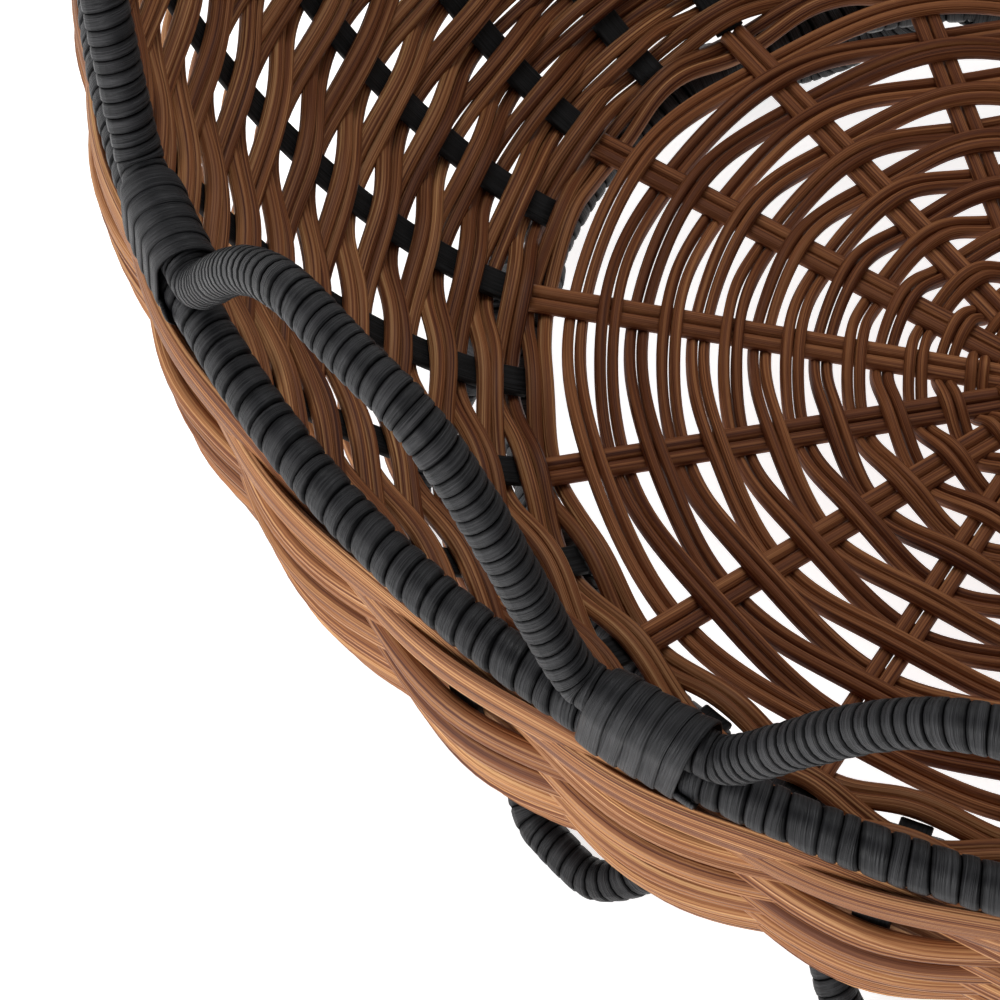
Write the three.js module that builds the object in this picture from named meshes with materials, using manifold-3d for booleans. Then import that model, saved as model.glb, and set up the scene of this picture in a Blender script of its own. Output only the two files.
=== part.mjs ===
// Round woven fruit basket. Millimetres, +Z up, standing on the floor at z = 0,
// the basket's own axis is the Z axis. Every ring-shaped piece runs round that axis.
import * as THREE from 'three';
import { mergeVertices } from 'three/addons/utils/BufferGeometryUtils.js';
import Module from 'manifold-3d';

const wasm = await Module();
wasm.setup();

// ---- driving dimensions ----
const GAP = 0.35;            // air between neighbouring pieces
const ROD_R = 3.2;           // radius of the wound rods (rim hoop, gallery, base hoop, foot)
const RIM_R = 160;           // rim hoop centre line
const RIM_Z = 144;
const BASE_R = 86;           // radius where the base turns up into the wall
const BASE_Z = 43;           // middle plane of the base
const BASE_HOOP_R = 88.5;
const BASE_HOOP_Z = 34.9;
const BAYS = 10;             // arches of the gallery, and loops of the foot
const BAY_PHASE = -5.625;    // degrees, first binding: half way between two stakes
const STAKES = 32;
const SPOKES = 16;

const ARCH_RISE = 42.6;      // gallery centre line above the rim hoop at the crown
const ARCH_R = 165.5;        // radius of the crown: the arches lean outwards a little
const FOOT_R = 104;          // radius of the foot loops where they touch the floor
const GALLERY_LIE = [0.7, 6.68];  // outward and up from the rim hoop to the gallery rod bound on it
const FOOT_LIE = [4.75, -4.75];   // and from the base hoop to the foot rod under it
const LOOP_START = 0.105;    // part of a bay where the rod leaves its binding
const LOOP_FLAT = 0.43;      // part of a bay where the level crown begins
const LOOP_POWER = 1.3;      // above 1 the rod leaves its binding more gently
const LOOP_STEPS = [0.1, 0.18, 0.27, 0.36, 0.44, 0.56, 0.64, 0.73, 0.82, 0.9];
const TANGENT_STEP = 0.004;  // part of a bay either side of a point, for its direction
const ROD_SIDES = 6;
const HOOP_STEPS = 60;
const BASE_HOOP_STEPS = 48;

const RIM_BINDING_LENGTH = 18.4;
const FOOT_BINDING_LENGTH = 10;
const BINDING_CLEAR = 0.85;  // room between the rods and the lacing's straight sleeve
const BINDING_WALL = 1.0;
const BINDING_ARC_STEPS = 4;

const WALL_TOP_Z = 138.6;
const WALL_TOP_R = 160.5;
const WALL_OUT_POWER = 0.65;  // superellipse exponents of the bowl profile
const WALL_UP_POWER = 1.6;
const STAKE_W = 5.3;
const STAKE_T = 1.6;
const STAKE_STEPS = 9;
const STAKE_SHORT = 0.2;       // how far a stake stops below the top of the cage's upper ring
const CAGE_TOP_H = 2.6;
const CAGE_TOP_HALF = 1.4;     // half the thickness of the cage's upper ring
const CAGE_FOOT_HALF_H = 1.0;
const CAGE_FOOT_IN = 0.9;      // how far the cage's lower ring reaches inside BASE_R
const CAGE_FOOT_OUT = 3.2;     // and outside it
const COURSES = 8;
const COURSE_START = 6.5;      // wall length below the first course, taken by the base's edge
const COURSE_END_CLEAR = 0.6;  // and the room left under the cage's upper ring
const COURSE_T = 2.0;
const COURSE_WAVE = 4.0;       // how far a course stands out or in at a stake
const COURSE_LIFT = 0.6;       // and how far it stands out between two stakes
const BORDER_H = 6;
const BORDER_T = 2.4;
const BORDER_SLOPE = 2.2;      // the border's outer face starts this far above its lower edge
const BORDER_STEPS = 64;

const SPOKE_W = 4.4;         // two rods side by side
const SPOKE_T = 2.0;
const CENTRE_R = 19.5;
const CENTRE_T = 3.4;
const CENTRE_STEPS = 24;
const WEAVE_RINGS = 3;
const WEAVE_START = 1.5;       // between the centre knot and the first woven ring
const WEAVE_T = 1.3;
const WEAVE_OUTER_R = 83.5;

const BLACK = { color: 0x232426, roughness: 0.55, metalness: 0.0 };
const DARK = { color: 0x1f1f20, roughness: 0.7, metalness: 0.0 };
const CANE = { color: 0xa8693d, roughness: 0.6, metalness: 0.0 };
const CORE = { color: 0x8a4f2c, roughness: 0.65, metalness: 0.0 };

const basket = new THREE.Group();
const rad = THREE.MathUtils.degToRad;

function add(name, geometry, look) {
  const mesh = new THREE.Mesh(geometry, new THREE.MeshStandardMaterial(look));
  mesh.name = name;
  basket.add(mesh);
  return mesh;
}

const number = (i) => String(i + 1).padStart(2, '0');

// A closed ring: a torus whose rows are laid on the sections given for each step.
// place(i, j) gives the point [x, y, z] of section corner j at step i.
function ring(steps, sides, place) {
  const geometry = new THREE.TorusGeometry(2, 1, sides, steps);
  const position = geometry.attributes.position;
  for (let j = 0; j <= sides; j++) {
    for (let i = 0; i <= steps; i++) {
      position.setXYZ(j * (steps + 1) + i, ...place(i % steps, j % sides));
    }
  }
  geometry.computeVertexNormals();
  return geometry;
}

// Ring whose corners are [radius, z] pairs given per step at angle angleOf(step).
function turnedRing(steps, sides, angleOf, corner) {
  return ring(steps, sides, (i, j) => {
    const [r, z] = corner(i, j);
    const a = angleOf(i);
    return [r * Math.cos(a), r * Math.sin(a), z];
  });
}

// ---- wound rods ----
function hoop(radius, z, steps) {
  const flat = Math.PI / ROD_SIDES;
  return turnedRing(steps, ROD_SIDES, (i) => (i / steps) * 2 * Math.PI, (i, j) => {
    const a = flat + (j / ROD_SIDES) * 2 * Math.PI;
    return [radius + ROD_R * Math.cos(a), z + ROD_R * Math.sin(a)];
  });
}

// 0 at a binding, 1 on the level crown in the middle of the bay.
function loopShape(u) {
  const edge = Math.min(u, 1 - u);
  const x = THREE.MathUtils.clamp((edge - LOOP_START) / (LOOP_FLAT - LOOP_START), 0, 1);
  return Math.pow(1 - (1 - x) * (1 - x), LOOP_POWER);
}

// Centre line of a looped rod that runs from [r0, z0] at the bindings to [r1, z1].
function loopPoint(bay, u, from, to) {
  const s = loopShape(u);
  const a = rad(BAY_PHASE + (bay + u) * (360 / BAYS));
  const r = from[0] + (to[0] - from[0]) * s;
  return new THREE.Vector3(r * Math.cos(a), r * Math.sin(a), from[1] + (to[1] - from[1]) * s);
}

function loopedRod(from, to) {
  const perBay = LOOP_STEPS.length;
  const steps = BAYS * perBay;
  const frames = [];
  for (let i = 0; i < steps; i++) {
    const bay = Math.floor(i / perBay);
    const u = LOOP_STEPS[i % perBay];
    const centre = loopPoint(bay, u, from, to);
    const ahead = loopPoint(bay, u + TANGENT_STEP, from, to);
    const behind = loopPoint(bay, u - TANGENT_STEP, from, to);
    const tangent = ahead.sub(behind).normalize();
    const out = new THREE.Vector3(centre.x, centre.y, 0).normalize();
    out.addScaledVector(tangent, -out.dot(tangent)).normalize();
    const up = new THREE.Vector3().crossVectors(out, tangent);
    frames.push({ centre, out, up });
  }
  return ring(steps, ROD_SIDES, (i, j) => {
    const { centre, out, up } = frames[i];
    const a = (j / ROD_SIDES) * 2 * Math.PI;    // one flat faces down
    return centre.clone()
      .addScaledVector(out, ROD_R * Math.cos(a))
      .addScaledVector(up, ROD_R * Math.sin(a))
      .toArray();
  });
}

// Outline that runs round both centres at the given distance: two half circles.
function stadium(centres, radius, lean) {
  const points = [];
  for (let end = 0; end < 2; end++) {
    for (let i = 0; i <= BINDING_ARC_STEPS; i++) {
      const a = lean + Math.PI * (end - 0.5) + (i / BINDING_ARC_STEPS) * Math.PI;
      const [x, y] = centres[end];
      points.push(new THREE.Vector2(x + radius * Math.cos(a), y + radius * Math.sin(a)));
    }
  }
  return points;
}

// Sleeve of lacing round two bound rods, the second one a step away from the first.
function binding(step, length) {
  const centres = [[0, 0], step];
  const lean = Math.atan2(-step[1], -step[0]);
  const inner = ROD_R + BINDING_CLEAR;
  const shape = new THREE.Shape(stadium(centres, inner + BINDING_WALL, lean));
  shape.holes.push(new THREE.Path(stadium(centres, inner, lean)));
  const geometry = new THREE.ExtrudeGeometry(shape, { depth: length, bevelEnabled: false });
  geometry.translate(0, 0, -length / 2);
  geometry.rotateX(Math.PI / 2);      // outline now stands upright, length along Y
  return geometry;
}

function addBindings(prefix, radius, z, step, length) {
  for (let i = 0; i < BAYS; i++) {
    const a = rad(BAY_PHASE + (i * 360) / BAYS);
    const mesh = add(prefix + number(i), binding(step, length), BLACK);
    mesh.position.set(radius * Math.cos(a), radius * Math.sin(a), z);
    mesh.rotation.z = a;
  }
}

add('rim_hoop', hoop(RIM_R, RIM_Z, HOOP_STEPS), BLACK);
const galleryLow = [RIM_R + GALLERY_LIE[0], RIM_Z + GALLERY_LIE[1]];
add('gallery_rod', loopedRod(galleryLow, [ARCH_R, RIM_Z + ARCH_RISE]), BLACK);
add('base_hoop', hoop(BASE_HOOP_R, BASE_HOOP_Z, BASE_HOOP_STEPS), BLACK);
const FOOT_Z = ROD_R * Math.cos(Math.PI / ROD_SIDES);   // the flats under the loops lie on z = 0
const footHigh = [BASE_HOOP_R + FOOT_LIE[0], BASE_HOOP_Z + FOOT_LIE[1]];
add('foot_rod', loopedRod(footHigh, [FOOT_R, FOOT_Z]), BLACK);
addBindings('rim_binding_', RIM_R, RIM_Z, GALLERY_LIE, RIM_BINDING_LENGTH);
addBindings('foot_binding_', BASE_HOOP_R, BASE_HOOP_Z, FOOT_LIE, FOOT_BINDING_LENGTH);

// ---- bowl profile of the wall, measured along its length ----
function wallRadius(z) {
  const u = THREE.MathUtils.clamp((WALL_TOP_Z - z) / (WALL_TOP_Z - BASE_Z), 0, 1);
  const out = Math.pow(1 - Math.pow(u, WALL_UP_POWER), WALL_OUT_POWER);
  return BASE_R + (WALL_TOP_R - BASE_R) * out;
}

const PROFILE_SAMPLES = 400;
const profile = [];
for (let i = 0; i <= PROFILE_SAMPLES; i++) {
  const t = i / PROFILE_SAMPLES;
  const z = BASE_Z + (WALL_TOP_Z - BASE_Z) * t * t;
  profile.push({ r: wallRadius(z), z, s: 0 });
  if (i > 0) {
    const before = profile[i - 1];
    profile[i].s = before.s + Math.hypot(profile[i].r - before.r, z - before.z);
  }
}
const WALL_LENGTH = profile[PROFILE_SAMPLES].s;

// Point of the wall at length s from the base, moved off it by a signed distance.
function wallPoint(s, off) {
  let i = 1;
  while (i < PROFILE_SAMPLES && profile[i].s < s) i++;
  const a = profile[i - 1];
  const b = profile[i];
  const t = (s - a.s) / (b.s - a.s);
  const length = Math.hypot(b.r - a.r, b.z - a.z);
  const normal = [(b.z - a.z) / length, -(b.r - a.r) / length];
  return [a.r + (b.r - a.r) * t + off * normal[0], a.z + (b.z - a.z) * t + off * normal[1]];
}

// ---- stake cage: flat stakes welded to a ring at the top and one at the foot ----
function toSolid(geometry) {
  const plain = geometry.index ? geometry : geometry.clone();
  plain.deleteAttribute('normal');
  plain.deleteAttribute('uv');
  const merged = mergeVertices(plain, 1e-4);
  return new wasm.Manifold(new wasm.Mesh({
    numProp: 3,
    vertProperties: new Float32Array(merged.attributes.position.array),
    triVerts: new Uint32Array(merged.index.array),
  }));
}

function toGeometry(solid) {
  const mesh = solid.getMesh();
  const geometry = new THREE.BufferGeometry();
  geometry.setAttribute('position', new THREE.BufferAttribute(mesh.vertProperties, 3));
  geometry.setIndex(new THREE.BufferAttribute(mesh.triVerts, 1));
  geometry.computeVertexNormals();
  return geometry;
}

function stake(angle) {
  const length = WALL_LENGTH - STAKE_SHORT;
  const outline = [];
  for (let i = 0; i <= STAKE_STEPS; i++) {
    outline.push(wallPoint((i / STAKE_STEPS) * length, STAKE_T / 2));
  }
  for (let i = STAKE_STEPS; i >= 0; i--) {
    outline.push(wallPoint((i / STAKE_STEPS) * length, -STAKE_T / 2));
  }
  const shape = new THREE.Shape(outline.map(([r, z]) => new THREE.Vector2(r, z)));
  const geometry = new THREE.ExtrudeGeometry(shape, { depth: STAKE_W, bevelEnabled: false });
  geometry.translate(0, 0, -STAKE_W / 2);
  geometry.rotateX(Math.PI / 2);
  geometry.rotateZ(angle);
  return geometry;
}

// Ring of rectangular section whose corners fall half way between two stakes.
function boxRing(inner, outer, low, high) {
  const corners = [[outer, low], [outer, high], [inner, high], [inner, low]];
  const angleOf = (i) => ((i + 0.5) / STAKES) * 2 * Math.PI;
  return turnedRing(STAKES, corners.length, angleOf, (i, j) => corners[j]);
}

const topOut = WALL_TOP_R + CAGE_TOP_HALF;
const topLow = WALL_TOP_Z - CAGE_TOP_H;
const footIn = BASE_R - CAGE_FOOT_IN;
const cageParts = [
  boxRing(WALL_TOP_R - CAGE_TOP_HALF, topOut, topLow, WALL_TOP_Z),
  boxRing(footIn, BASE_R + CAGE_FOOT_OUT, BASE_Z - CAGE_FOOT_HALF_H, BASE_Z + CAGE_FOOT_HALF_H),
];
for (let i = 0; i < STAKES; i++) cageParts.push(stake((i / STAKES) * 2 * Math.PI));
const cage = cageParts.map(toSolid).reduce((whole, piece) => whole.add(piece));
add('stake_cage', toGeometry(cage), DARK);

// ---- wall courses: each goes outside one stake and inside the next ----
const courseEnd = WALL_LENGTH - CAGE_TOP_H - GAP - COURSE_END_CLEAR;
const coursePitch = (courseEnd - COURSE_START) / COURSES;
for (let c = 0; c < COURSES; c++) {
  const low = COURSE_START + c * coursePitch + GAP / 2;
  const high = COURSE_START + (c + 1) * coursePitch - GAP / 2;
  const sides = [[low, 1], [high, 1], [high, -1], [low, -1]];
  const geometry = turnedRing(STAKES * 2, 4, (i) => (i / (STAKES * 2)) * 2 * Math.PI, (i, j) => {
    const wave = Math.round(Math.cos((i / 2 + c) * Math.PI));
    const off = COURSE_WAVE * wave + COURSE_LIFT * (1 - Math.abs(wave));
    return wallPoint(sides[j][0], off + (sides[j][1] * COURSE_T) / 2);
  });
  add('wall_course_' + number(c), geometry, CANE);
}

// ---- twined border outside the stake tops ----
const borderIn = topOut + GAP;
const borderOut = borderIn + BORDER_T;
const borderCorners = [
  [borderOut, WALL_TOP_Z - BORDER_H + BORDER_SLOPE],
  [borderOut, WALL_TOP_Z],
  [borderIn, WALL_TOP_Z],
  [borderIn, topLow + GAP],
];
const borderAngle = (i) => (i / BORDER_STEPS) * 2 * Math.PI;
add('border_course', turnedRing(BORDER_STEPS, 4, borderAngle, (i, j) => borderCorners[j]), CANE);

// ---- base: centre knot, spokes and weave ----
const knot = new THREE.CylinderGeometry(CENTRE_R, CENTRE_R, CENTRE_T, CENTRE_STEPS);
knot.rotateX(Math.PI / 2);
knot.translate(0, 0, BASE_Z);
add('base_centre', knot, CORE);

const spokeIn = CENTRE_R + GAP;
const spokeOut = footIn * Math.cos(Math.PI / STAKES) - GAP;
for (let i = 0; i < SPOKES; i++) {
  const spoke = new THREE.BoxGeometry(spokeOut - spokeIn, SPOKE_W, SPOKE_T);
  const mesh = add('base_spoke_' + number(i), spoke, CORE);
  const a = (i / SPOKES) * 2 * Math.PI;
  const middle = (spokeIn + spokeOut) / 2;
  mesh.position.set(middle * Math.cos(a), middle * Math.sin(a), BASE_Z);
  mesh.rotation.z = a;
}

const weaveIn = CENTRE_R + WEAVE_START;
const weavePitch = (WEAVE_OUTER_R - weaveIn) / WEAVE_RINGS;
const weaveOff = (SPOKE_T + WEAVE_T) / 2 + GAP;
for (let w = 0; w < WEAVE_RINGS; w++) {
  const inner = weaveIn + w * weavePitch;
  const outer = inner + weavePitch - GAP;
  const half = Math.asin((SPOKE_W / 2 + GAP) / inner);
  const spacing = (2 * Math.PI) / SPOKES;
  // two steps a spoke, at its edges: the crossing to the other side lies between spokes
  const offsets = [-half, half];
  const steps = SPOKES * 2;
  const angleOf = (i) => Math.floor(i / 2) * spacing + offsets[i % 2];
  const section = [[outer, -1], [outer, 1], [inner, 1], [inner, -1]];
  add('base_weave_' + number(w), turnedRing(steps, 4, angleOf, (i, j) => {
    const side = (Math.floor(i / 2) + w) % 2 === 0 ? 1 : -1;
    return [section[j][0], BASE_Z + side * weaveOff + (section[j][1] * WEAVE_T) / 2];
  }), CORE);
}

export default basket;
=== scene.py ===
import math

import bpy
import numpy as np
from mathutils import Matrix, Vector

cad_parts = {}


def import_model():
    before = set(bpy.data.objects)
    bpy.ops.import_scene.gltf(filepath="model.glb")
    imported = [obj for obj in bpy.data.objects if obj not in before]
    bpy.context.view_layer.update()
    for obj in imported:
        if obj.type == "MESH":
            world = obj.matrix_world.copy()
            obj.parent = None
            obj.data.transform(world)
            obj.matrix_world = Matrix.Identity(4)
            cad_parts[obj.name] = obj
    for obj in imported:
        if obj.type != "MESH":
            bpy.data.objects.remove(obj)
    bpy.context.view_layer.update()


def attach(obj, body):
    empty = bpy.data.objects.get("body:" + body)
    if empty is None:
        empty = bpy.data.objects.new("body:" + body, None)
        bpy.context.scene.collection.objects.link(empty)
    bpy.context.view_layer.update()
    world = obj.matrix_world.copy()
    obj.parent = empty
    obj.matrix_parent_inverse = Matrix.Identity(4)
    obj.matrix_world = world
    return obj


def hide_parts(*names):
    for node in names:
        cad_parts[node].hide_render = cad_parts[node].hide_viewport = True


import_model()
MM = 0.001
TAU = 2 * math.pi

# ---- sizes in millimetres, the same as the CAD part's ----
ROD_R = 3.2
RIM_R, RIM_Z = 160.0, 144.0
BASE_R, BASE_Z = 86.0, 43.0
BASE_HOOP_R, BASE_HOOP_Z = 88.5, 34.9
BAYS, BAY_PHASE = 10, math.radians(-5.625)
STAKES, SPOKES = 32, 16
ARCH_RISE, ARCH_R, FOOT_R = 42.6, 165.5, 104.0
GALLERY_LIE = (0.7, 6.68)               # from the rim hoop to the bound gallery rod, outward and up
FOOT_LIE = (4.75, -4.75)                # from the base hoop to the bound foot rod, outward and up
FOOT_Z = ROD_R + 0.05                   # height of the foot rod where it is lowest
LOOP_START, LOOP_FLAT, LOOP_POWER = 0.105, 0.43, 1.3
WALL_TOP_Z, WALL_TOP_R = 138.6, 160.5
WALL_OUT_POWER, WALL_UP_POWER = 0.65, 1.6

# ---- the weave ----
COURSES = 27
COURSE_START, COURSE_END = -1.4, 5.6    # wall length where the courses start, and left free at the top
STRAND_R, STRAND_FLAT = 1.24, 1.15      # half width up the wall, and thickness over width
COURSE_WAVE, COURSE_OUT = 2.3, 0.25     # swing of a strand across the wall, and shift of its middle
COURSE_BANDS = 8                        # wall courses in the CAD part
STAKE_W, STAKE_T = 5.3, 1.3
STAKE_START, STAKE_END = 3.0, 5.0       # wall length below and above the stakes' visible ends
BORDER_HALF = 3.1, 1.15                 # half height and half thickness of a border strand
BORDER_DROP, BORDER_OUT = 2.3, 1.15     # middle of the border: below the top edge, and off the stakes
BORDER_SWING = 1.3, 0.95                # how far its two strands cross, up the wall and out of it
BORDER_RIBS = (14, 0.035), (31, 0.02)   # ribs round a border strand, and their height over its size
BORDER_STEPS, BORDER_SIDES = 16, 40
WALL_STEPS, WALL_SIDES = 12, 10         # steps from one stake to the next, sides of a strand
RINGS, RING_PITCH, RING_OUTER = 16, 5.0, 80.6
BASE_STRAND_R, BASE_STRAND_TALL = 0.95, 1.45     # half width and half height of a base strand
BASE_SLIT, BASE_WAVE = 0.12, 2.0        # gap between the two strands of a ring, and their swing up and down
WEAVE_EDGES = 20, 41, 62                # radii between the base centre and the base weaves of the CAD part
SPOKE_ROD_R, SPOKE_PAIR = 1.25, 2.62    # radius of a spoke rod, and how far the two of a pair lie apart
SPOKE_STARTS = 0.3, 3.0                 # every other pair reaches the middle
SPOKE_CLOSE, SPOKE_OPEN_AT = 0.75, 12   # how close a pair lies in the middle, and the length it opens over
SPOKE_PAST = 2.5                        # how far a spoke reaches past the base's edge
SPOKE_STEPS, SPOKE_SIDES = 36, 10
RING_STEPS, RING_SIDES = 14, 10

# ---- the strip wound round the rods ----
RIM_WRAP = dict(pitch=3.15, rib=0.5, per_turn=10, slant=0.2)
GALLERY_WRAP = dict(pitch=2.15, rib=0.22, per_turn=8, slant=0.5)
BASE_HOOP_WRAP = dict(pitch=3.15, rib=0.36, sides=14, slant=0.25)
FOOT_WRAP = dict(pitch=2.6, rib=0.25, sides=14, per_turn=6, slant=0.4)
CROWN_POWER = 0.22                      # the lower, the flatter the crown of a turn
TURN_WANDER, TURN_SPREAD = 0.22, 0.05   # unevenness of the turns: over the pitch, and in height

# ---- the lacing at the bindings ----
RIM_LACING = dict(length=19.2, turns=5.4, strip=3.75, lift=0.5)
FOOT_LACING = dict(length=11.0, turns=3.3, strip=3.6, lift=0.4)
LACING_STEPS, LACING_BEGIN = 52, 0.62   # steps in a turn, and where round the rods it begins
LACING_CLEAR, STRIP_T = 0.32, 0.55      # between rod and strip, and thickness of the strip
STRIP_SHAPE = np.array([[-0.5, 0.0], [-0.5, 0.55], [-0.42, 0.9], [-0.2, 1.0], [0.0, 1.02], [0.25, 1.0],
                        [0.44, 0.85], [0.5, 0.5], [0.5, 0.0], [0.0, 0.0]])

STAKE_SHAPE = np.array([[-0.5, -0.3], [-0.5, 0.3], [-0.44, 0.5], [0, 0.54], [0.44, 0.5], [0.5, 0.3],
                        [0.5, -0.3], [0.44, -0.5], [0, -0.46], [-0.44, -0.5]])[::-1]

# ---- floor, light and camera, in metres and radians ----
FLOOR_SIZE, FLOOR_Z, FLOOR_GLOW = 6, -0.0006, 0.75
CAMERA_AT = -0.088294, -0.505903, 0.699369
CAMERA_YAW, CAMERA_PITCH, CAMERA_ROLL = 0.00079, -0.954, 0.169
CAMERA_SENSOR, CAMERA_LENS = 36, 184.54

RISE = np.array([0, 0, 1.0])

rng = np.random.default_rng(11)


# ---- mesh building ----
class Shell:
    """Sweeps gathered into one mesh, with a straightened-out coordinate and a tint on every corner."""

    def __init__(self):
        self.count = 0
        self.verts, self.faces = [], {3: [], 4: []}
        self.rest, self.tint = {3: [], 4: []}, {3: [], 4: []}

    def sweep(self, grid, rest, tint, closed=False, skew=0, rest_ahead=None):
        """grid[i, j] is corner j of section i. A closed sweep of skewed turns joins its last column to its
        first, skew sections on. rest has a column more than grid. A closed sweep's rest has a row more too,
        unless rest_ahead gives the next row's."""
        n, m = grid.shape[:2]
        rows = n if closed else n - 1
        low = rest[:rows]
        high = rest[1:rows + 1] if rest_ahead is None else rest_ahead
        i, j = (a.ravel() for a in np.meshgrid(np.arange(rows), np.arange(m), indexing="ij"))
        turn = np.where(j + 1 == m, skew, 0)
        quads = np.stack([i * m + j, (i + turn) % n * m + (j + 1) % m,
                          (i + 1 + turn) % n * m + (j + 1) % m, (i + 1) % n * m + j], 1)
        corners = np.stack([low[i, j], low[i, j + 1], high[i, j + 1], high[i, j]], 1)
        self.add_faces(quads + self.count, corners, tint)
        self.add_verts(grid.reshape(-1, 3))
        if not closed:
            first = self.count - n * m
            self.cap(grid[0], rest[0], tint, first, -1)
            self.cap(grid[-1], rest[-1], tint, first + (n - 1) * m, 1)

    def cap(self, loop, rest, tint, first, way):
        """Closes one end of a sweep with a fan; way is 1 at its far end and -1 at its near end."""
        m = len(loop)
        j = np.arange(m)
        edge = np.stack([j, j + 1], 1)[:, ::way]
        corners = np.concatenate([rest[edge], np.broadcast_to(rest[:m].mean(0), (m, 1, 3))], 1)
        self.add_faces(np.hstack([first + edge % m, np.full((m, 1), self.count)]), corners, tint)
        self.add_verts(loop.mean(0)[None])

    def add_verts(self, points):
        self.verts.append(points)
        self.count += len(points)

    def add_faces(self, faces, corners, tint):
        size = faces.shape[1]
        self.faces[size].append(faces)
        self.rest[size].append(corners.reshape(-1, 3))
        self.tint[size].append(np.full(faces.size, tint))

    def build(self, name, material, nodes, slot):
        faces = [np.vstack(self.faces[k]) for k in (4, 3) if self.faces[k]]
        loops = np.concatenate([f.ravel() for f in faces])
        sizes = np.concatenate([np.full(len(f), f.shape[1]) for f in faces])
        me = bpy.data.meshes.new(name)
        me.vertices.add(self.count)
        me.vertices.foreach_set("co", (np.vstack(self.verts) * MM).astype(np.float32).ravel())
        me.loops.add(len(loops))
        me.loops.foreach_set("vertex_index", loops.astype(np.int32))
        me.polygons.add(len(sizes))
        me.polygons.foreach_set("loop_start", (np.cumsum(sizes) - sizes).astype(np.int32))
        me.polygons.foreach_set("use_smooth", np.ones(len(sizes), bool))
        me.update(calc_edges=True)
        rest = np.vstack(self.rest[4] + self.rest[3]).astype(np.float32)
        me.attributes.new("rest", "FLOAT_VECTOR", "CORNER").data.foreach_set("vector", rest.ravel())
        tint = np.concatenate(self.tint[4] + self.tint[3]).astype(np.float32)
        me.attributes.new("tint", "FLOAT", "CORNER").data.foreach_set("value", tint)
        me.materials.append(material)
        ob = bpy.data.objects.new(name, me)
        bpy.context.scene.collection.objects.link(ob)
        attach(ob, "root")
        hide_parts(*nodes)


def wobble(n, period, size):
    """Smooth random wander over n steps that closes on itself."""
    k = np.arange(1, 6)
    t = np.arange(n)[:, None] / n * TAU
    waves = np.sin(t * k * period + rng.uniform(0, TAU, 5)) * rng.normal(0, 1, 5) / np.sqrt(5)
    return size * waves.sum(1)


def round_section(radius, sides):
    a = np.arange(sides) / sides * TAU
    return np.stack([np.cos(a), np.sin(a)], 1)[None] * np.asarray(radius).reshape(-1, 1, 1)


def radial_of(angle):
    return np.stack([np.cos(angle), np.sin(angle), 0 * angle], 1)


def strand(shell, path, up, out, radius, sides, closed, flat=1.0):
    """A round or oval strand along a path, given the unit vectors across it."""
    n = len(path)
    section = round_section(np.broadcast_to(radius, n), sides)
    grid = path[:, None] + section[..., :1] * up[:, None] + section[..., 1:] * flat * out[:, None]
    ahead = np.roll(path, -1, 0) if closed else np.vstack([path[1:], path[-1:]])
    length = np.concatenate([[0], np.cumsum(np.linalg.norm(ahead - path, axis=1))])
    length = length[:n + 1 if closed else n]
    a = np.arange(sides + 1) / sides * TAU
    r = float(np.mean(radius))
    rest = np.empty((len(length), sides + 1, 3))
    rest[..., 0] = length[:, None] + rng.uniform(0, 4000)
    rest[..., 1] = r * np.cos(a)
    rest[..., 2] = r * np.sin(a)
    shell.sweep(grid, rest, rng.uniform(), closed)


# ---- the wall's profile ----
def profile_table():
    t = np.linspace(0, 1, 800)
    z = BASE_Z + (WALL_TOP_Z - BASE_Z) * t * t
    u = (WALL_TOP_Z - z) / (WALL_TOP_Z - BASE_Z)
    r = BASE_R + (WALL_TOP_R - BASE_R) * (1 - u**WALL_UP_POWER) ** WALL_OUT_POWER
    s = np.concatenate([[0], np.cumsum(np.hypot(np.diff(r), np.diff(z)))])
    lead = 10.0                                    # the wall leaves the base level with it
    return np.append(-lead, s), np.append(BASE_R - lead, r), np.append(BASE_Z, z)


S_TABLE, R_TABLE, Z_TABLE = profile_table()
WALL_LENGTH = S_TABLE[-1]


def profile(s):
    """Radius, height and the unit tangent (up the wall) at a length along the wall."""
    r, z = np.interp(s, S_TABLE, R_TABLE), np.interp(s, S_TABLE, Z_TABLE)
    h = 0.5
    dr = np.interp(s + h, S_TABLE, R_TABLE) - np.interp(s - h, S_TABLE, R_TABLE)
    dz = np.interp(s + h, S_TABLE, Z_TABLE) - np.interp(s - h, S_TABLE, Z_TABLE)
    size = np.hypot(dr, dz)
    return r, z, dr / size, dz / size


def on_wall(angle, s, off):
    """Points on the wall moved off it, with the unit vectors up it and out of it."""
    r, z, tr, tz = profile(s)
    radial = radial_of(angle)
    up = tr[:, None] * radial + tz[:, None] * RISE
    out = tz[:, None] * radial - tr[:, None] * RISE
    return radial * r[:, None] + RISE * z[:, None] + out * off[:, None], up, out


# ---- materials ----
def make_material(name):
    m = bpy.data.materials.new(name)
    m.use_nodes = True
    tree = m.node_tree
    tree.nodes.clear()
    return m, tree


def node(tree, kind, inputs=(), **settings):
    n = tree.nodes.new(kind)
    for key, value in settings.items():
        setattr(n, key, value)
    for key, value in dict(inputs).items():
        if isinstance(value, bpy.types.NodeSocket):
            tree.links.new(value, n.inputs[key])
        else:
            n.inputs[key].default_value = value
    return n


def ramp(tree, factor, stops):
    n = node(tree, "ShaderNodeValToRGB", {"Fac": factor})
    el = n.color_ramp.elements
    while len(el) < len(stops):
        el.new(0.5)
    for e, (at, colour) in zip(el, stops):
        e.position = at
        e.color = (*colour, 1)
    return n.outputs["Color"]


def times(tree, a, b):
    n = tree.nodes.new("ShaderNodeMix")
    n.data_type, n.blend_type = "RGBA", "MULTIPLY"
    n.inputs[0].default_value = 1.0
    tree.links.new(a, n.inputs[6])
    tree.links.new(b, n.inputs[7])
    return n.outputs[2]


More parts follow.
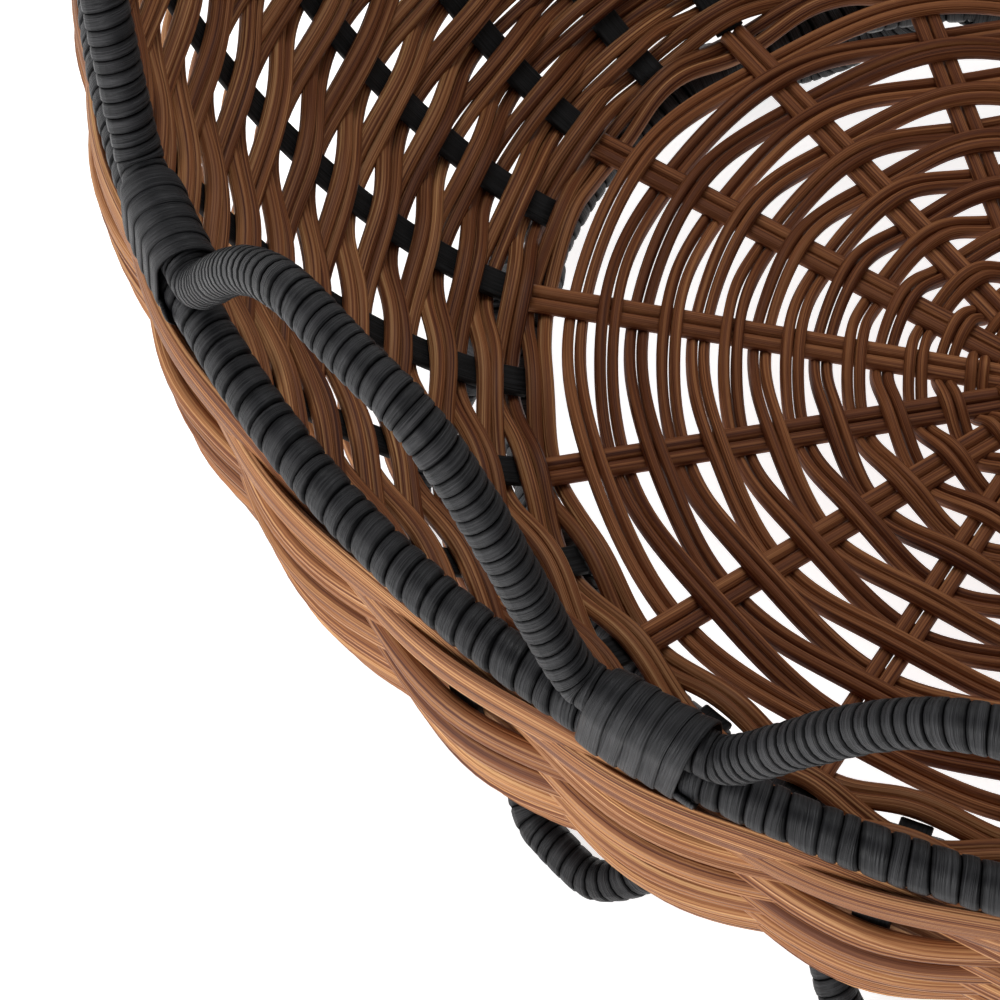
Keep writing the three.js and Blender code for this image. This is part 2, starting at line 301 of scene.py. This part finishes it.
def stretched_noise(tree, scale, size, detail, offset=0.0):
    """Noise drawn out along a strand: rest.x runs along it, y and z across it."""
    rest = node(tree, "ShaderNodeAttribute", attribute_name="rest")
    mapped = node(tree, "ShaderNodeMapping", {
        "Vector": rest.outputs["Vector"], "Scale": scale, "Location": (offset, offset, offset)})
    noise = node(tree, "ShaderNodeTexNoise", {
        "Vector": mapped.outputs["Vector"], "Scale": size, "Detail": detail, "Roughness": 0.6})
    return noise.outputs["Fac"]


def outward(tree):
    """Unit vector pointing away from the basket's own axis."""
    place = node(tree, "ShaderNodeTexCoord").outputs["Object"]
    flat = node(tree, "ShaderNodeVectorMath", {0: place, 1: (1, 1, 0)}, operation="MULTIPLY")
    away = node(tree, "ShaderNodeVectorMath", {0: flat.outputs["Vector"]}, operation="NORMALIZE")
    return away.outputs["Vector"]


def cane_material(name, dark, mid, light, rough, inward_painted_shade):
    m, tree = make_material(name)
    tint = node(tree, "ShaderNodeAttribute", attribute_name="tint").outputs["Fac"]
    fibre = stretched_noise(tree, (0.016, 3.4, 3.4), 1.0, 4.0)
    streak = stretched_noise(tree, (0.008, 0.9, 0.9), 1.0, 2.0, 31.0)
    fine = stretched_noise(tree, (0.05, 7.0, 7.0), 1.0, 2.0, 57.0)
    colour = ramp(tree, fibre, [(0.36, dark), (0.49, mid), (0.62, light)])
    shade = ramp(tree, streak, [(0.38, (0.55, 0.45, 0.42)), (0.58, (1.0, 1.0, 1.0))])
    colour = times(tree, colour, shade)
    each = ramp(tree, tint, [(0.0, (0.70, 0.62, 0.58)), (0.5, (0.95, 0.92, 0.88)),
                             (1.0, (1.2, 1.24, 1.24))])
    colour = times(tree, colour, each)
    bump = node(tree, "ShaderNodeBump", {"Height": fine, "Strength": 0.5, "Distance": 0.00012})
    bump = node(tree, "ShaderNodeBump", {
        "Height": fibre, "Strength": 0.7, "Distance": 0.00025, "Normal": bump.outputs["Normal"]})
    rough_map = node(tree, "ShaderNodeMapRange", {
        "Value": streak, "From Min": 0.3, "From Max": 0.7, "To Min": rough - 0.12, "To Max": rough + 0.1})
    # Painted shade: faces turned sideways or in towards the basket's axis get a darker colour, standing in
    # for the shade inside the basket.
    inside = node(tree, "ShaderNodeVectorMath", {0: node(tree, "ShaderNodeNewGeometry").outputs["Normal"],
                                                 1: outward(tree)}, operation="DOT_PRODUCT").outputs["Value"]
    side = ramp(tree, inside, [(0.0, inward_painted_shade), (0.35, (1.0, 1.0, 1.0))])
    colour = times(tree, colour, side)
    surface = node(tree, "ShaderNodeBsdfPrincipled", {
        "Base Color": colour, "Roughness": rough_map.outputs["Result"],
        "Normal": bump.outputs["Normal"], "Specular IOR Level": 0.25})
    out = node(tree, "ShaderNodeOutputMaterial")
    tree.links.new(surface.outputs["BSDF"], out.inputs["Surface"])
    return m


def strip_material(name, dark, light, across, rough):
    """Black strip: rest.x runs along the strip, rest.y across it, rest.z is 1 on the crown of a turn."""
    m, tree = make_material(name)
    tint = node(tree, "ShaderNodeAttribute", attribute_name="tint").outputs["Fac"]
    grain = stretched_noise(tree, (0.06, across, 0.0), 1.0, 3.0)
    coarse = stretched_noise(tree, (0.05, across * 0.35, 0.0), 1.0, 2.0, 17.0)
    patch = stretched_noise(tree, (0.12, 0.12, 0.0), 1.0, 3.0, 43.0)
    colour = ramp(tree, grain, [(0.42, dark), (0.6, light)])
    worn = ramp(tree, patch, [(0.4, (0.8, 0.8, 0.82)), (0.72, (1.45, 1.42, 1.4))])
    colour = times(tree, colour, worn)
    place = node(tree, "ShaderNodeAttribute", attribute_name="rest").outputs["Vector"]
    height = node(tree, "ShaderNodeSeparateXYZ", {"Vector": place}).outputs["Z"]
    # Painted shade: the colour darkens where rest.z is low, in the valleys between wound turns and at the
    # lacing strip's edges, and the same mask turns the reflections down there.
    painted_valley_shade = ramp(tree, height, [(0.05, (0.12, 0.12, 0.12)), (0.6, (1.0, 1.0, 1.0))])
    colour = times(tree, colour, painted_valley_shade)
    shine = node(tree, "ShaderNodeMapRange", {
        "Value": height, "From Min": 0.05, "From Max": 0.55, "To Min": 0.0, "To Max": 0.28})
    bump = node(tree, "ShaderNodeBump", {"Height": coarse, "Strength": 0.8, "Distance": 0.0003})
    bump = node(tree, "ShaderNodeBump", {
        "Height": grain, "Strength": 1.0, "Distance": 0.0004, "Normal": bump.outputs["Normal"]})
    rough_map = node(tree, "ShaderNodeMapRange", {
        "Value": patch, "From Min": 0.3, "From Max": 0.7, "To Min": rough - 0.1, "To Max": rough + 0.12})
    surface = node(tree, "ShaderNodeBsdfPrincipled", {
        "Base Color": colour, "Roughness": rough_map.outputs["Result"],
        "Normal": bump.outputs["Normal"], "Specular IOR Level": shine.outputs["Result"]})
    out = node(tree, "ShaderNodeOutputMaterial")
    tree.links.new(surface.outputs["BSDF"], out.inputs["Surface"])
    return m


WALL_CANE = cane_material("cane_wall", dark=(0.12, 0.036, 0.014), mid=(0.30, 0.120, 0.044),
                          light=(0.54, 0.300, 0.135), rough=0.6, inward_painted_shade=(0.90, 0.80, 0.76))
# Painted shade: the base cane is a darker copy of the wall cane, standing in for the shade inside the
# basket.
BASE_CANE_SHADED = cane_material("cane_base_painted_shade", dark=(0.13, 0.038, 0.014), mid=(0.28, 0.098, 0.036),
                          light=(0.42, 0.180, 0.070), rough=0.65, inward_painted_shade=(0.95, 0.95, 0.95))
WOUND = strip_material("wound_strip", (0.003, 0.003, 0.004), (0.022, 0.022, 0.024), 3.6, 0.47)
LACING = strip_material("lacing_strip", (0.004, 0.004, 0.005), (0.022, 0.022, 0.024), 3.8, 0.5)
SPLINT = strip_material("splint_black", (0.003, 0.003, 0.003), (0.012, 0.012, 0.013), 2.5, 0.7)


# ---- wound rods ----
def loop_shape(u):
    edge = np.minimum(u, 1 - u)
    x = np.clip((edge - LOOP_START) / (LOOP_FLAT - LOOP_START), 0, 1)
    return (1 - (1 - x) ** 2) ** LOOP_POWER


def looped_path(start, end, samples=240):
    t = np.arange(BAYS * samples + 1) / samples
    s = loop_shape(t % 1)
    kernel = np.hanning(15)
    kernel /= kernel.sum()
    s = np.convolve(np.concatenate([s[-8:-1], s, s[1:8]]), kernel, "valid")
    a = BAY_PHASE + t * TAU / BAYS
    r = start[0] + (end[0] - start[0]) * s
    z = start[1] + (end[1] - start[1]) * s
    return np.stack([r * np.cos(a), r * np.sin(a), z], 1)


def hoop_path(radius, z, samples=1440):
    a = np.arange(samples + 1) / samples * TAU
    return np.stack([radius * np.cos(a), radius * np.sin(a), np.full_like(a, z)], 1)


def between_turns(turn_of, values):
    """One value a turn, blended from each turn to the next round the whole rod."""
    turns = len(values)
    return np.interp(turn_of % turns, np.arange(turns + 1), np.append(values, values[0]))


def wound_rod(name, node_name, path, pitch, rib, sides=18, per_turn=7, slant=0.0):
    """A rod under a strip wound round it: each turn is a low rib, and the turns form one helix."""
    seg = np.linalg.norm(np.diff(path, axis=0), axis=1)
    s = np.concatenate([[0], np.cumsum(seg)])
    turns = int(round(s[-1] / pitch))
    pitch = s[-1] / turns
    n = turns * per_turn
    turn_of = (np.arange(n)[:, None] + np.arange(sides)[None] / sides * per_turn) / per_turn
    wander = between_turns(turn_of, wobble(turns, 23, TURN_WANDER * pitch))
    at = (turn_of * pitch + wander) % s[-1]
    pos = np.stack([np.interp(at, s, path[:, k]) for k in range(3)], -1)
    h = 0.8
    ahead = np.stack([np.interp((at + h) % s[-1], s, path[:, k]) for k in range(3)], -1)
    behind = np.stack([np.interp((at - h) % s[-1], s, path[:, k]) for k in range(3)], -1)
    tangent = ahead - behind
    tangent /= np.linalg.norm(tangent, axis=-1, keepdims=True)
    out = pos * np.array([1, 1, 0.0])
    out /= np.linalg.norm(out, axis=-1, keepdims=True)
    out -= tangent * np.sum(out * tangent, -1, keepdims=True)
    out /= np.linalg.norm(out, axis=-1, keepdims=True)
    up = np.cross(out, tangent)
    x = (np.arange(n) % per_turn)[:, None] / per_turn + np.zeros((1, sides))
    crown = np.abs(np.sin(math.pi * x)) ** CROWN_POWER
    lean = slant * (x - 0.5)
    each = between_turns(turn_of, rng.normal(0, TURN_SPREAD, turns))
    radius = ROD_R - rib * 0.55 + rib * (crown + lean) + each * crown
    a = (np.arange(sides) / sides * TAU)[None]
    grid = pos + radius[..., None] * (np.cos(a)[..., None] * up + np.sin(a)[..., None] * out)
    col = np.arange(sides + 1)[None] / sides
    first = np.arange(n)[:, None]
    part = (first % per_turn + np.zeros_like(col)) / per_turn
    along = (first // per_turn + col) * TAU * ROD_R
    # The third value is the crown height, low in the valleys between turns, where the strip material paints
    # shade.
    low, high = (np.stack([along, p * pitch, np.sin(math.pi * p)], -1) for p in (part, part + 1 / per_turn))
    shell = Shell()
    shell.sweep(grid, low, 0.5, True, per_turn, high)
    shell.build(name, WOUND, [node_name], "wound_rod")


def stadium_point(t, step, radius):
    """Point at t (0 to 1) round both rod centres, (0, 0) and step, and the outward direction there."""
    step = np.array(step)
    gap = np.linalg.norm(step)
    along = step / gap
    side = np.array([-along[1], along[0]])
    arc = math.pi * radius
    total = 2 * (arc + gap)
    d = (t % 1) * total
    pts, outs = np.empty((len(d), 2)), np.empty((len(d), 2))
    for k, x in enumerate(d):
        if x < gap:
            o = -side
            p = along * x
        elif x < gap + arc:
            b = (x - gap) / radius
            o = -side * math.cos(b) + along * math.sin(b)
            p = step
        elif x < 2 * gap + arc:
            o = side
            p = step - along * (x - gap - arc)
        else:
            b = (x - 2 * gap - arc) / radius
            o = side * math.cos(b) - along * math.sin(b)
            p = np.zeros(2)
        pts[k], outs[k] = p + o * radius, o
    return pts, outs, total


def lacing(name, node_name, bay, radius, z, step, length, turns, strip, lift):
    """A flat strip wound round two rods; each turn's edge lies over the one before it."""
    n = int(turns * LACING_STEPS)
    t = np.arange(n + 1) / LACING_STEPS
    pts, outs, total = stadium_point(t + LACING_BEGIN, step, ROD_R + LACING_CLEAR)
    along = -length / 2 + strip / 2 + (length - strip) * t / turns
    along += 0.12 * np.sin(t * TAU * 1.3 + bay)
    tilt = lift * (STRIP_SHAPE[:, 0] + 0.5)
    a = BAY_PHASE + bay * TAU / BAYS
    radial = np.array([math.cos(a), math.sin(a), 0])
    tangent = np.array([-math.sin(a), math.cos(a), 0])
    wide = strip * (1 + 0.04 * np.sin(t * 5 + bay * 2))
    m = len(STRIP_SHAPE)
    grid = np.empty((n + 1, m, 3))
    for j, (w, h) in enumerate(STRIP_SHAPE):
        off = h * STRIP_T + tilt[j]
        q = pts + outs * off
        q2 = along + w * wide
        bend = -(q2**2) / (2 * radius)           # the hoop curves away from the tangent
        grid[:, j] = ((radius + q[:, 0] + bend)[:, None] * radial + (z + q[:, 1])[:, None] * RISE
                      + q2[:, None] * tangent)
    rest = np.empty((n + 1, m + 1, 3))
    rest[..., 0] = (t * total)[:, None]
    across = np.append(STRIP_SHAPE[:, 0], STRIP_SHAPE[0, 0])[None]
    rest[..., 1] = across * strip + 40 * bay
    # Painted shade at the strip's edges, where one turn meets the next: the strip material darkens the
    # colour where this value is low.
    rest[..., 2] = np.clip((0.53 - np.abs(across)) * 8, 0, 1)      # dark edges
    shell = Shell()
    shell.sweep(grid, rest, rng.uniform())
    shell.build(name, LACING, [node_name], "lacing")


wound_rod("rim_hoop_wound", "rim_hoop", hoop_path(RIM_R, RIM_Z), **RIM_WRAP)
wound_rod("gallery_rod_wound", "gallery_rod",
          looped_path((RIM_R + GALLERY_LIE[0], RIM_Z + GALLERY_LIE[1]), (ARCH_R, RIM_Z + ARCH_RISE)),
          **GALLERY_WRAP)
wound_rod("base_hoop_wound", "base_hoop", hoop_path(BASE_HOOP_R, BASE_HOOP_Z), **BASE_HOOP_WRAP)
wound_rod("foot_rod_wound", "foot_rod",
          looped_path((BASE_HOOP_R + FOOT_LIE[0], BASE_HOOP_Z + FOOT_LIE[1]), (FOOT_R, FOOT_Z)),
          **FOOT_WRAP)
for bay in range(BAYS):
    tag = f"{bay + 1:02d}"
    lacing("rim_lacing_" + tag, "rim_binding_" + tag, bay, RIM_R, RIM_Z, GALLERY_LIE, **RIM_LACING)
    lacing("foot_lacing_" + tag, "foot_binding_" + tag, bay, BASE_HOOP_R, BASE_HOOP_Z, FOOT_LIE,
           **FOOT_LACING)


# ---- stakes ----
def stake(index):
    s = np.linspace(STAKE_START, WALL_LENGTH - STAKE_END, 60)
    angle = np.full_like(s, index / STAKES * TAU)
    path, up, out = on_wall(angle, s, 0 * s)
    side = np.cross(out, up)
    n = len(path)
    grid = (path[:, None] + STAKE_SHAPE[None, :, :1] * STAKE_W * side[:, None]
            + STAKE_SHAPE[None, :, 1:] * STAKE_T * out[:, None])
    length = np.concatenate([[0], np.cumsum(np.linalg.norm(np.diff(path, axis=0), axis=1))])
    around = np.append(STAKE_SHAPE, STAKE_SHAPE[:1], 0)
    rest = np.empty((n, len(around), 3))
    rest[..., 0] = length[:, None] + index * 211
    rest[..., 1] = around[:, 0] * STAKE_W
    rest[..., 2] = 1
    shell = Shell()
    shell.sweep(grid, rest, rng.uniform())
    shell.build(f"stake_{index + 1:02d}", SPLINT, ["stake_cage"], "stakes")


for k in range(STAKES):
    stake(k)


# ---- wall courses: two strands each, outside one stake and inside the next ----
def wall_course(index, s_mid):
    n = STAKES * WALL_STEPS
    angle = np.arange(n) / n * TAU
    wave = np.cos(angle * STAKES / 2 + index * math.pi)
    shell = Shell()
    for side in (-1, 1):
        s = s_mid + side * (STRAND_R - 0.02) + wobble(n, 7, 0.12)
        off = COURSE_WAVE * wave + COURSE_OUT + wobble(n, 9, 0.1)
        path, up, out = on_wall(angle, s, off)
        radius = STRAND_R * (1 + wobble(n, 3, 0.03))
        strand(shell, path, up, out, radius, WALL_SIDES, True, STRAND_FLAT)
    return shell


pitch = (WALL_LENGTH - COURSE_START - COURSE_END) / COURSES
for k in range(COURSES):
    band = min(COURSE_BANDS - 1, int(k * COURSE_BANDS / COURSES))
    shell = wall_course(k, COURSE_START + (k + 0.5) * pitch)
    shell.build(f"wall_weave_{k + 1:02d}", WALL_CANE, [f"wall_course_{band + 1:02d}"], "wall_cane")


# ---- twined border ----
def border():
    n = STAKES * BORDER_STEPS
    angle = np.arange(n) / n * TAU
    a = np.arange(BORDER_SIDES) / BORDER_SIDES * TAU
    (coarse, coarse_size), (fine, fine_size) = BORDER_RIBS
    shell = Shell()
    for way in (-1, 1):
        t = angle * STAKES / 2
        off = BORDER_OUT + way * BORDER_SWING[1] * np.cos(t)
        s = WALL_LENGTH - BORDER_DROP + way * BORDER_SWING[0] * np.sin(t) + wobble(n, 5, 0.1)
        path, up, out = on_wall(angle, s, off)
        ripple = 1 + coarse_size * np.cos(a * coarse) + fine_size * np.cos(a * fine)
        section = np.stack([BORDER_HALF[0] * np.cos(a) * ripple, BORDER_HALF[1] * np.sin(a) * ripple], 1)
        grid = path[:, None] + section[None, :, :1] * up[:, None] + section[None, :, 1:] * out[:, None]
        length = np.arange(n + 1) / n * TAU * WALL_TOP_R
        around = np.append(section, section[:1], 0)
        rest = np.empty((n + 1, BORDER_SIDES + 1, 3))
        rest[..., 0] = length[:, None] + way * 900
        rest[..., 1:] = around[None] * 1.6
        shell.sweep(grid, rest, 0.5 + 0.1 * way, True)
    shell.build("border_twine", WALL_CANE, ["border_course"], "wall_cane")


border()


# ---- base: spoke pairs and woven rings ----
def spokes():
    for k in range(SPOKES):
        a = k / SPOKES * TAU
        radial = np.array([math.cos(a), math.sin(a), 0])
        side = np.array([-math.sin(a), math.cos(a), 0])
        shell = Shell()
        for way in (-1, 1):
            r = np.linspace(SPOKE_STARTS[k % 2], BASE_R + SPOKE_PAST, SPOKE_STEPS)
            spread = np.clip((r - SPOKE_STARTS[1]) / SPOKE_OPEN_AT, 0, 1)
            off = way * SPOKE_PAIR / 2 * (SPOKE_CLOSE + (1 - SPOKE_CLOSE) * spread)
            path = radial * r[:, None] + side * off[:, None] + BASE_Z * RISE
            up = np.broadcast_to(side, path.shape)
            out = np.broadcast_to(RISE, path.shape)
            strand(shell, path, up, out, SPOKE_ROD_R, SPOKE_SIDES, False)
        shell.build(f"spoke_pair_{k + 1:02d}", BASE_CANE_SHADED, [f"base_spoke_{k + 1:02d}"], "base_cane")


def base_ring(index, radius):
    n = SPOKES * RING_STEPS
    angle = np.arange(n) / n * TAU
    wave = -np.cos(angle * SPOKES / 2 + index * math.pi)
    shell = Shell()
    radial = radial_of(angle)
    for side in (-1, 1):
        r = radius + side * (BASE_STRAND_R + BASE_SLIT / 2) + wobble(n, 4, 0.05)
        z = BASE_Z + BASE_WAVE * wave + wobble(n, 5, 0.05)
        path = radial * r[:, None] + RISE * z[:, None]
        tall = BASE_STRAND_TALL * (1 + wobble(n, 3, 0.03))
        strand(shell, path, np.broadcast_to(RISE, path.shape), radial, tall, RING_SIDES, True,
               BASE_STRAND_R / BASE_STRAND_TALL)
    return shell


spokes()
for k in range(RINGS):
    radius = RING_OUTER - k * RING_PITCH
    shell = base_ring(k, radius)
    zone = sum(radius > edge for edge in WEAVE_EDGES)
    node_name = f"base_weave_{zone:02d}" if zone else "base_centre"
    shell.build(f"base_ring_{k + 1:02d}", BASE_CANE_SHADED, [node_name], "base_cane")


# ---- floor, light and camera ----
def floor():
    bpy.ops.mesh.primitive_plane_add(size=FLOOR_SIZE, location=(0, 0, FLOOR_Z))
    ob = bpy.context.object
    ob.name = "floor"
    m, tree = make_material("floor_white")
    glow = node(tree, "ShaderNodeEmission", {"Color": (1, 1, 1, 1), "Strength": FLOOR_GLOW})
    matt = node(tree, "ShaderNodeBsdfDiffuse", {"Color": (0.8, 0.8, 0.8, 1)})
    both = node(tree, "ShaderNodeAddShader")
    tree.links.new(glow.outputs[0], both.inputs[0])
    tree.links.new(matt.outputs[0], both.inputs[1])
    out = node(tree, "ShaderNodeOutputMaterial")
    tree.links.new(both.outputs[0], out.inputs["Surface"])
    ob.data.materials.append(m)


def area(name, location, target, size, power):
    data = bpy.data.lights.new(name, "AREA")
    data.size, data.energy = size, power
    ob = bpy.data.objects.new(name, data)
    ob.location = location
    ob.rotation_euler = (Vector(target) - Vector(location)).to_track_quat("-Z", "Y").to_euler()
    bpy.context.scene.collection.objects.link(ob)


def world():
    w = bpy.data.worlds.new("studio")
    bpy.context.scene.world = w
    w.use_nodes = True
    tree = w.node_tree
    tree.nodes.clear()
    coord = node(tree, "ShaderNodeTexCoord")
    split = node(tree, "ShaderNodeSeparateXYZ", {"Vector": coord.outputs["Generated"]})
    shade = ramp(tree, split.outputs["Z"], [(0.0, (0.8, 0.8, 0.8)), (0.3, (0.5, 0.5, 0.5)),
                                            (1.0, (0.12, 0.12, 0.12))])
    back = node(tree, "ShaderNodeBackground", {"Color": shade, "Strength": 1.0})
    out = node(tree, "ShaderNodeOutputWorld")
    tree.links.new(back.outputs[0], out.inputs["Surface"])


def camera():
    data = bpy.data.cameras.new("camera")
    data.sensor_width, data.lens = CAMERA_SENSOR, CAMERA_LENS
    data.clip_start, data.clip_end = 0.05, 20
    ob = bpy.data.objects.new("camera", data)
    yaw, pitch, roll = CAMERA_YAW, CAMERA_PITCH, CAMERA_ROLL
    forward = Vector((math.sin(yaw) * math.cos(pitch), math.cos(yaw) * math.cos(pitch), math.sin(pitch)))
    level = Vector((math.cos(yaw), -math.sin(yaw), 0))
    upright = level.cross(forward)
    right = level * math.cos(roll) + upright * math.sin(roll)
    up = upright * math.cos(roll) - level * math.sin(roll)
    turn = Matrix((right, up, -forward)).transposed().to_4x4()
    ob.matrix_world = Matrix.Translation(CAMERA_AT) @ turn
    bpy.context.scene.collection.objects.link(ob)
    bpy.context.scene.camera = ob


floor()
world()
area("key", location=(-0.62, -0.8, 0.42), target=(0, 0, 0.09), size=0.6, power=8)
area("top", location=(-0.2, 0.5, 1.3), target=(0, 0, 0.05), size=0.8, power=7)
camera()
bpy.context.scene.view_settings.view_transform = "Standard"
